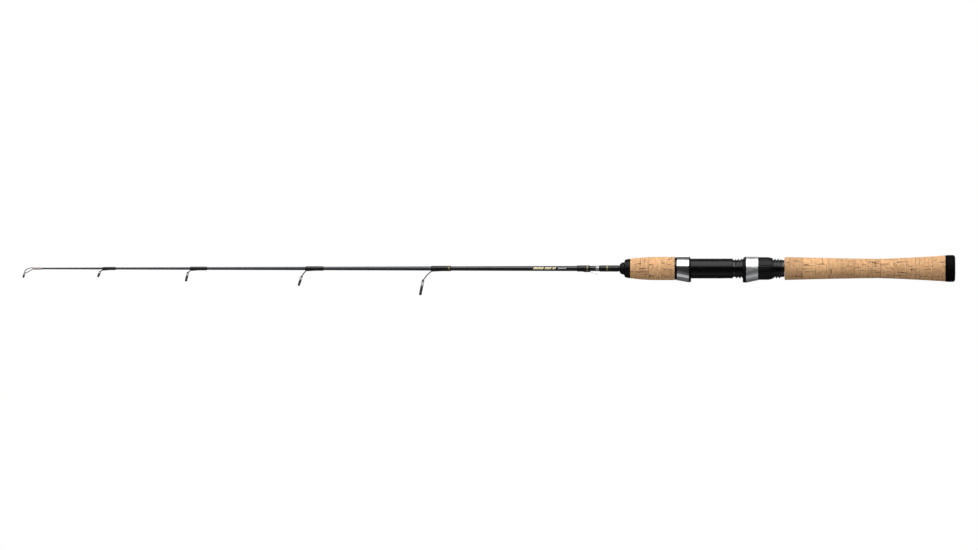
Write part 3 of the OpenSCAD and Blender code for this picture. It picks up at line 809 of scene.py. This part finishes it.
def make_liner(name, hood, node, body, bore, top_share):
    """Plastic liner: a soft lip round the mouth, and the pocket for the reel foot. The lip
    stands out in full below and by top_share of that above."""
    angle = around(HOOD_COLS)
    inward = -hood.face
    lo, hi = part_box(node)
    deep = lo.x if hood.face > 0 else hi.x
    lip = abs(hood.nose - hood.mouth) * (1 - (1 - top_share) * (0.5 + 0.5 * np.sin(angle)))
    nose = hood.nose
    grid = []
    for x in np.linspace(deep, hood.mouth + inward * 0.05 * MM, 14):
        grid.append(polar(x, hood.outer(x, angle, SHELL_T + LINER_GAP), angle))
    rim = 0.15 * MM
    inner_nose = hood.pocket(nose, angle, bore)
    shelf = hood.outer(hood.mouth, angle, 0.12 * MM)
    for t in np.linspace(0, math.pi / 2, 10):
        x = hood.mouth - inward * lip * math.sin(t)
        radius = inner_nose + rim + (shelf - inner_nose - rim) * math.cos(t) ** 0.8
        grid.append(polar(x, radius, angle))
    for x in np.linspace(nose, deep, 14):
        grid.append(polar(x, hood.pocket(x, angle, bore), angle))
    piece(name, *skin(np.array(grid)), LINER_PLASTIC, [node], "liner_plastic", body, sharp=50)


FIXED = Hood("fixed_hood_shell", "fixed_hood_liner", 1)
MOVING = Hood("moving_hood_shell", "moving_hood_liner", -1)
BACK_HOLE_R = np.hypot(*corners("moving_hood_shell")[:, 1:].T).min()
make_shell("fixed_hood_steel", FIXED, "fixed_hood_shell", "rod", None, HOOD_STEEL)
make_shell("moving_hood_steel", MOVING, "moving_hood_shell", "moving_hood", BACK_HOLE_R, BRUSHED_STEEL)
make_liner("fixed_hood_cushion", FIXED, "fixed_hood_liner", "rod", BARREL_R + 0.02 * MM, 0.6)
make_liner("moving_hood_cushion", MOVING, "moving_hood_liner", "moving_hood", BARREL_R + 0.07 * MM, 0.72)

# ---- lock nut ----

FLUTES = 28
FLUTE_DEEP = 0.2 * MM
COLS_PER_FLUTE = 8


def make_nut():
    """Fluted nut with a sloped back, a collar inside the hood and a real thread. The flutes
    fade out before the slope and before the front edge."""
    lo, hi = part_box("lock_nut")
    wide = hi.z
    back, front = hi.x, MOVING.back - 0.12 * MM
    angle = around(FLUTES * COLS_PER_FLUTE)
    flute = (0.5 + 0.5 * np.cos(angle * FLUTES)) ** 3
    inner, groove, collar = ROOT_R + 1.35 * MM, BACK_HOLE_R - 0.15 * MM, BACK_HOLE_R + 0.4 * MM
    groove_end = front - 0.94 * MM
    line = rounded(
        [(back, inner), (back, wide - 1.05 * MM), (back - 2.2 * MM, wide - 0.45 * MM),
         (back - 4.6 * MM, wide), (front, wide), (front, groove), (groove_end, groove),
         (groove_end, collar), (lo.x, collar), (lo.x, inner)],
        [0, 0.3 * MM, 1.6 * MM, 1.5 * MM, 0.25 * MM, 0, 0, 0.1 * MM, 0.1 * MM, 0],
    )
    grid = []
    for x, r in split(line, 0.6 * MM):
        fade_back = smooth_step((back - 3 * MM - x) / (1.6 * MM))
        fade_front = smooth_step((x - front - 0.9 * MM) / (0.8 * MM))
        outside = x > front + 0.5 * MM and r > wide - 0.6 * MM
        cut = FLUTE_DEEP * flute * (fade_back * fade_front) if outside else 0.0
        grid.append(polar(x, r - cut, angle))
    thread_gap = 0.2 * MM
    for x in np.arange(lo.x + 0.1 * MM, back, 0.25 * MM):
        grid.append(polar(x, ROOT_R + thread_gap + thread_height(x, angle), angle))
    verts, faces = skin(np.array(grid))
    piece(
        "lock_nut_fluted", verts, faces, NUT_PLASTIC, ["lock_nut"], "nut_plastic", "lock_nut", sharp=45
    )


make_nut()

# ---- thread wraps ----

WRAP_T = 0.5 * MM
THREAD_PITCH = 0.3 * MM  # one turn of a wrap's thread
WRAP_END = 0.06 * MM  # a wrap's thickness at its ends
BAND_PITCH = 0.24 * MM  # one turn of a band's thread


class Wrap:
    """Wound thread under varnish, between the ends of a CAD node. foot is the x where the
    metal under it comes out and the x where that starts. It swells the underside by depth,
    rising over the ramp's length, or over the whole foot."""

    def __init__(self, node, thickness=WRAP_T, foot=None, depth=0.0, ramp=None):
        lo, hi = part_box(node)
        self.low, self.high, self.thickness = lo.x, hi.x, thickness
        self.foot, self.depth = foot, depth
        self.ramp = ramp or (abs(foot[1] - foot[0]) if foot else 1)

    def radius(self, xs, angle):
        """Outside radius at each x, in rows, and each angle."""
        from_end = np.minimum(self.high - xs, xs - self.low)
        build = WRAP_END + (self.thickness - WRAP_END) * smooth_step(from_end / (1.0 * MM))
        turns = 0.01 * MM * np.cos(2 * math.pi * xs / THREAD_PITCH) * smooth_step(from_end / (0.8 * MM))
        radius = (blank_radius(xs) + build + turns)[:, None] + 0 * angle[None, :]
        if self.foot:
            out, start = self.foot
            toward = 1 if out > start else -1
            lift = smooth_step((xs - start) * toward / self.ramp)
            lift = lift * smooth_step(np.abs(xs - out) / (0.7 * MM) + 0.35)
            down = np.clip(-np.sin(angle), 0, 1) ** 3
            radius = radius + self.depth * lift[:, None] * down[None, :]
        return radius

    def make(self, name, node):
        """The piece itself."""
        xs = np.append(np.arange(self.high, self.low, -THREAD_PITCH / 4), self.low)
        angle = around(40)
        inner = blank_radius(xs[[-1, 0]]) + 0.01 * MM
        grid = np.concatenate(
            [polar(xs[:, None], self.radius(xs, angle), angle[None, :]),
             polar(xs[[-1, 0]][:, None], inner[:, None], angle[None, :])]
        )
        piece(name, *skin(grid), BLACK_THREAD, [node], "varnished_thread", sharp=60)


def make_band(node, material, slot, wrap=None):
    """Metallic thread wound in a few close turns over a wrap, or on the blank."""
    lo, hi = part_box(node)
    xs = np.arange(hi.x, lo.x, -BAND_PITCH / 4)
    angle = around(64)
    under = wrap.radius(xs, angle) if wrap else blank_radius(xs)[:, None] + 0 * angle[None, :]
    turns = np.abs(np.sin(math.pi * (xs - lo.x) / BAND_PITCH)) ** 0.6
    edge = smooth_step(np.minimum(hi.x - xs, xs - lo.x) / (0.15 * MM))
    outer = under + (0.03 * MM + 0.06 * MM * turns * edge)[:, None]
    ends = polar(xs[[-1, 0]][:, None], under[[-1, 0]] - 0.02 * MM, angle[None, :])
    grid = np.concatenate([polar(xs[:, None], outer, angle[None, :]), ends])
    piece(node + "_thread", *skin(grid), material, [node], slot, sharp=60)


# ---- line guides ----


class Guide:
    """A guide's sizes, read from its CAD ring and frame."""

    def __init__(self, ring, frame_node):
        co = corners(ring)
        self.centre = (co.max(0) + co.min(0)) / 2
        spread = co - self.centre
        thin = np.linalg.svd(spread - spread.mean(0), full_matrices=False)[2][-1]
        self.axis = thin * (1 if thin[0] > 0 else -1)
        self.up = np.cross(self.axis, (0, 1, 0))
        self.up *= 1 if self.up[2] > 0 else -1
        along = spread @ self.axis
        radial = np.linalg.norm(spread - along[:, None] * self.axis, axis=1)
        self.outer, self.bore, self.width = radial.max(), radial.min(), np.ptp(along)
        self.frame_r = np.abs(corners(frame_node)[:, 1]).max()

    def ring_grid(self, middle, half_long, half_wide, power):
        """Grid of a ring round the guide's axis. Its section is an oval round the middle
        radius, half_long along the axis, and squarer with a higher power."""
        a, angle = around(24)[:, None, None], around(72)[None, :, None]
        c, s = np.cos(a), np.sin(a)
        along = half_long * np.sign(c) * np.abs(c) ** (2 / power)
        radius = middle + half_wide * np.sign(s) * np.abs(s) ** (2 / power)
        across = np.array([0.0, 1.0, 0.0])
        return self.centre + along * self.axis + radius * (np.cos(angle) * across + np.sin(angle) * self.up)

    def band(self, share):
        """Grid of the steel band round the ceramic ring, half of it share of the ring's width."""
        overlap = 0.02 * MM
        half_wall = (self.frame_r - self.outer) / 2
        return self.ring_grid((self.frame_r + self.outer) / 2, share * self.width, half_wall + overlap, 3.6)

    def make_ring(self, name, node):
        """The ceramic ring, a little wider than its CAD node."""
        middle, half = (self.outer + self.bore) / 2, (self.outer - self.bore) / 2
        grid = self.ring_grid(middle, 0.6 * self.width, half, 3)
        piece(name, *skin(grid), CERAMIC, [node], "dark_ceramic")


def make_guide(number):
    """Stamped frame, ceramic ring and wrap of one guide. A foot lies under the wrap, and a
    leg curves from its heel, at the wrap's end, to the top of the band."""
    ring, frame_node, wrap = (f"guide_{part}_{number}" for part in ("ring", "frame", "wrap"))
    g = Guide(ring, frame_node)
    g.make_ring(f"guide_ceramic_{number}", ring)
    wrap_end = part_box(wrap)[0].x
    foot_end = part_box(frame_node)[1].x
    heel = wrap_end + 1 * MM
    under = -blank_radius(heel) - 0.45 * MM
    top = g.centre + g.up * (g.frame_r - 0.3 * MM) + g.axis * 0.3 * MM
    pull = np.array([heel + 0.58 * (top[0] - heel), 0, under + 0.36 * (top[2] - under)])
    start = np.array([heel, 0, under])
    t = np.linspace(0, 1, 22)[:, None]
    leg = (1 - t) ** 2 * start + 2 * t * (1 - t) * pull + t * t * top
    x, s = np.linspace(foot_end, heel + 0.8 * MM, 8), np.linspace(0, 1, 8)
    foot = np.stack([x, 0 * x, -blank_radius(x) - 0.15 * MM - 0.3 * MM * s], 1)
    path = np.vstack([foot, leg])
    along = np.linspace(0, 1, len(path))
    ring_size = 2 * g.frame_r / MM
    neck = (0.95 + 0.085 * ring_size) * MM
    wide = neck * (1 + 0.35 * smooth_step((along - 0.7) / 0.3) + 0.1 * smooth_step((0.35 - along) / 0.3))
    thick = (0.3 + 0.8 * smooth_step(along / 0.25)) * MM
    strip = sweep(path, wide, thick, power=3.0)
    verts, faces = join(skin(strip, capped=True), skin(g.band(0.52)))
    piece(f"guide_steel_{number}", verts, faces, GUIDE_STEEL, [frame_node], "stainless_frame")
    winding = Wrap(wrap, foot=(wrap_end, foot_end + 1 * MM), depth=0.52 * MM)
    winding.make(f"guide_winding_{number}", wrap)
    if number == 1:
        make_band("guide_trim", GOLD_THREAD, "gold_thread", winding)


for guide_number in range(1, 5):
    make_guide(guide_number)

# ---- butt wraps and hook keeper ----

keeper_lo, keeper_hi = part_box("hook_keeper")
keeper_winding = Wrap(
    "keeper_wrap", foot=(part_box("keeper_wrap")[1].x, keeper_lo.x - 2 * MM), depth=0.45 * MM, ramp=2 * MM
)
keeper_winding.make("keeper_winding", "keeper_wrap")
make_band("keeper_trim", GOLD_THREAD, "gold_thread", keeper_winding)
butt_winding = Wrap("butt_wrap", thickness=0.42 * MM)
butt_winding.make("butt_winding", "butt_wrap")
make_band("butt_trim", GOLD_THREAD, "gold_thread", butt_winding)
make_band("silver_trim", SILVER_THREAD, "silver_thread")


def make_keeper():
    """One bent wire: out from under the wrap, round a small loop and back."""
    wrap_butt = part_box("keeper_wrap")[1].x
    wire = 0.6 * MM
    half = keeper_hi.y - wire / 2
    low, end = keeper_lo.z + wire / 2, keeper_hi.x - wire / 2
    top = -blank_radius(wrap_butt) - wire / 2
    side = [
        (keeper_lo.x + 0.5 * MM, half, top), (wrap_butt - 0.6 * MM, half, top),
        (wrap_butt + 1.9 * MM, half, top - 1.3 * MM), (wrap_butt + 4.2 * MM, half, top - 1.9 * MM),
        (end - 0.6 * MM, half * 0.95, low + 0.3 * MM), (end, half * 0.6, low), (end, 0, low - 0.02 * MM),
    ]
    path = curve(side + [(x, -y, z) for x, y, z in side[-2::-1]], 8)
    grid = sweep(path, wire, wire, across=(0.1, 0.2, 1), cols=14)
    piece("hook_keeper_wire", *skin(grid, capped=True), KEEPER_STEEL, ["hook_keeper"], "keeper_wire")


make_keeper()

# ---- tip-top ----


def make_tip():
    """Tube, wire frame and ceramic ring at the end of the blank. One wire runs over the ring
    from the tube, and a brace runs to each side of it."""
    lo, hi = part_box("tip_top_tube")
    radius = hi.z
    bore, axis = blank_radius(hi.x) + 0.01 * MM, 0.05 * MM
    loop = rounded(
        [(hi.x, bore), (hi.x, radius), (lo.x, radius), (lo.x, axis), (lo.x + 0.6 * MM, axis),
         (lo.x + 0.9 * MM, bore)],
        [0.05 * MM, 0.15 * MM, 0.4 * MM, 0, 0, 0],
    )
    turned("tip_tube", loop, 40, TIP_STEEL, "tip_top_tube", "tip_tube_metal")
    g = Guide("tip_top_ring", "tip_top_frame")
    g.make_ring("tip_ceramic", "tip_top_ring")
    brace_t = 0.84 * MM
    top = g.centre + g.up * (g.frame_r - 0.2 * MM)
    over = [
        top, top + np.array([0.5, 0, 1.9]) * MM, top + np.array([2.2, 0, 3.5]) * MM,
        np.array([lo.x - 2.2 * MM, 0, 0.55 * MM]), np.array([lo.x + 0.3 * MM, 0, 0.62 * MM]),
    ]
    loop_wire = sweep(curve(over, 8), 1 * MM, 0.85 * MM, cols=14, power=2.6)
    parts = [skin(loop_wire, capped=True), skin(g.band(0.55))]
    for s in (-1, 1):
        tube_end = np.array([lo.x + 0.4 * MM, 0.75 * s * MM, -0.35 * MM])
        ring_end = g.centre + g.up * 1.75 * MM + np.array([0.45, 1.95 * s, 0]) * MM
        middle = (tube_end + ring_end) / 2 + np.array([0, 0.12 * s, -0.15]) * MM
        brace = sweep(curve([tube_end, middle, ring_end], 8), brace_t, brace_t, cols=12)
        parts.append(skin(brace, capped=True))
    piece("tip_frame", *join(*parts), GUIDE_STEEL, ["tip_top_frame"], "stainless_frame")


make_tip()

# ---- painted marks ----


def make_mark(name, x0, x1, z_low, z_high, slant, material):
    """A thin patch of paint on the blank's front. Its ends lean to the butt by slant times
    their height."""
    cols, rows = 10, 12
    lift = 0.015 * MM
    z = np.linspace(z_low, z_high, rows)[:, None]
    x = np.linspace(x0, x1, cols)[None, :] + slant * (z - z_low)
    y = -np.sqrt((blank_radius(x) + lift) ** 2 - z * z)
    front = np.stack(np.broadcast_arrays(x, y, z), -1).reshape(-1, 3)
    back = front.copy()
    back[:, 1] += 2 * lift
    total = len(front)
    faces = []
    for i in range(rows - 1):
        for j in range(cols - 1):
            a = i * cols + j
            faces.append([a, a + 1, a + cols + 1, a + cols])
            faces.append([total + a, total + a + cols, total + a + cols + 1, total + a + 1])
    rim = list(range(cols)) + [i * cols + cols - 1 for i in range(1, rows)]
    rim += [(rows - 1) * cols + j for j in range(cols - 2, -1, -1)]
    rim += [i * cols for i in range(rows - 2, 0, -1)]
    for a, b in zip(rim, rim[1:] + rim[:1]):
        faces.append([b, a, total + a, total + b])
    piece(name, np.vstack([front, back]), faces, material, [], "gold_thread")


PALE_GOLD = paint_mark("pale_gold_paint", (0.78, 0.7, 0.42))
PALE_GREY = paint_mark("pale_grey_paint", (0.5, 0.5, 0.5))
GOLD_DASHES = [(-0.414, -0.4042), (-0.4028, -0.3966), (-0.3952, -0.3922)]  # x of their ends
GREY_DASH = (-0.3896, -0.3817)
for number, (dash_start, dash_end) in enumerate(GOLD_DASHES, 1):
    make_mark(f"painted_dash_{number}", dash_start, dash_end, -0.8 * MM, 1.2 * MM, 0.5, PALE_GOLD)
make_mark("painted_grey_dash", *GREY_DASH, -0.4 * MM, 0.6 * MM, 0.4, PALE_GREY)

# ---- nodes kept from the CAD model ----

ARBOR_FOAM = foam()
for arbor in (n for n in NODES if n.startswith("seat_arbor_")):
    NODES[arbor].data.materials.clear()
    NODES[arbor].data.materials.append(ARBOR_FOAM)

# ---- studio ----


def make_floor():
    """A plain pale floor under the rod, seen by the camera but not by the rod."""
    size, depth = 6.0, -0.285
    mesh = bpy.data.meshes.new("floor")
    mesh.from_pydata(
        [(centre.x + x * size, y * size, depth) for x, y in ((-1, -1), (1, -1), (1, 1), (-1, 1))],
        [], [(0, 1, 2, 3)],
    )
    mesh.materials.append(Paint("floor_pale", Roughness=0.9, Base_Color=(0.9, 0.9, 0.9, 1)).material)
    floor = add_object("floor", mesh)
    floor.visible_glossy = floor.visible_diffuse = False


LIGHT_DISTANCE = 1.6


def add_light(name, elevation, height, radiance, azimuth=0, wide=2.4, glossy=True):
    """A softbox of wide by height metres facing the rod, at an elevation from the front
    horizon upwards and an azimuth from the front towards the butt."""
    data = bpy.data.lights.new(name, "AREA")
    data.shape = "RECTANGLE"
    data.size, data.size_y = wide, height
    data.energy = radiance * math.pi * wide * height
    light = add_object(name, data)
    up, turn = math.radians(elevation), math.radians(azimuth)
    away = Vector((math.sin(turn) * math.cos(up), -math.cos(turn) * math.cos(up), math.sin(up)))
    side = Vector((math.cos(turn), math.sin(turn), 0))
    light.location = Vector((centre.x, 0, 0)) + away * LIGHT_DISTANCE
    light.rotation_euler = Matrix((side, away.cross(side), away)).transposed().to_euler()
    light.visible_camera = False
    light.visible_glossy = glossy


def make_world():
    """White to the camera, and a dim surround with a dark horizon to the rod."""
    world = bpy.data.worlds.new("studio")
    bpy.context.scene.world = world
    world.use_nodes = True
    tree = world.node_tree
    add, link = tree.nodes.new, tree.links.new
    coords, split_xyz = add("ShaderNodeTexCoord"), add("ShaderNodeSeparateXYZ")
    remap, ramp = add("ShaderNodeMapRange"), add("ShaderNodeValToRGB")
    path, mix = add("ShaderNodeLightPath"), add("ShaderNodeMix")
    mix.data_type = "RGBA"
    remap.inputs["From Min"].default_value = -1
    link(coords.outputs["Generated"], split_xyz.inputs["Vector"])
    link(split_xyz.outputs["Z"], remap.inputs["Value"])
    link(remap.outputs["Result"], ramp.inputs["Fac"])
    stops = [(0.0, 0.12), (0.25, 0.1), (0.4, 0.03), (0.6, 0.03), (0.75, 0.14), (1.0, 0.18)]
    set_stops(ramp.color_ramp, stops)
    link(path.outputs["Is Camera Ray"], mix.inputs["Factor"])
    low, high = (s for s in mix.inputs if s.enabled and s.name in "AB")
    link(ramp.outputs["Color"], low)
    high.default_value = (1, 1, 1, 1)
    mixed = next(s for s in mix.outputs if s.enabled)
    link(mixed, tree.nodes["Background"].inputs["Color"])


make_floor()
make_world()
add_light("key", 58, 1.9, 3.2)
add_light("under_strip", -68, 1.0, 0.36)
add_light("under_fill", -50, 1.2, 4.4, glossy=False)
add_light("back", 165, 0.8, 1.6)
add_light("back_fill", 180, 1.2, 2.2, glossy=False)
add_light("tip_side", 25, 0.9, 1.6, azimuth=-72, wide=0.9)
add_light("butt_side", 25, 0.9, 1.6, azimuth=72, wide=0.9)
bpy.context.scene.view_settings.view_transform = "Standard"
